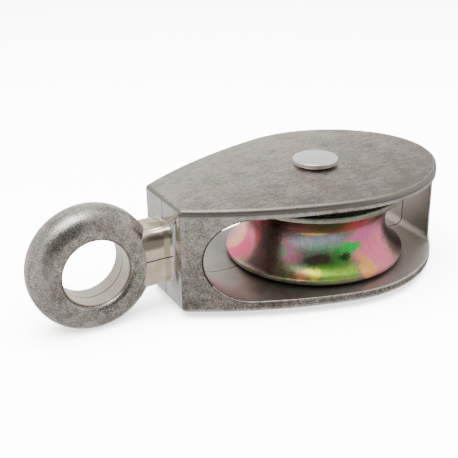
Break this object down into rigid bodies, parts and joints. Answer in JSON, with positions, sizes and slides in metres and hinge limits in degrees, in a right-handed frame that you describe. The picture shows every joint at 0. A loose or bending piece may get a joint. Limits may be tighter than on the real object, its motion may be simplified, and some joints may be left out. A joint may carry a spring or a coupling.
{
  "type": "single pulley block",
  "caption": "Small rigid-eye rope pulley: a cast teardrop housing with a side window, a grooved sheave turning on a rivet, and an eye for hanging it.",
  "frame": {"origin": "on the axle's axis, halfway between the cheeks and level with the middle of the rope window; the sheave lies 0.65 mm below it, low in its side play", "axes": "+Z along the axle towards the rivet's head, +X from the eye towards the housing's round end, +Y across the pulley, along the rope window and the eye's hole"},
  "size_m": [0.0909, 0.0436, 0.0253],
  "materials": {
    "nickel_plated_casting": "die-cast zinc, tumbled and nickel plated, warm grey satin with brighter edges",
    "yellow_passivated_steel": "turned steel with yellow passivated zinc plating, iridescent pink, green and gold",
    "bright_steel": "bright zinc-plated steel"
  },
  "bodies": {
    "frame": {"housing": "nickel_plated_casting", "axle_rivet": "bright_steel"},
    "wheel": {"sheave": "yellow_passivated_steel"}
  },
  "joints": [
    {"name": "sheave_spin", "type": "hinge", "parent": "frame", "child": "wheel", "pos_m": [0, 0, 0], "axis": [0, 0, 1], "continuous": true}
  ]
}
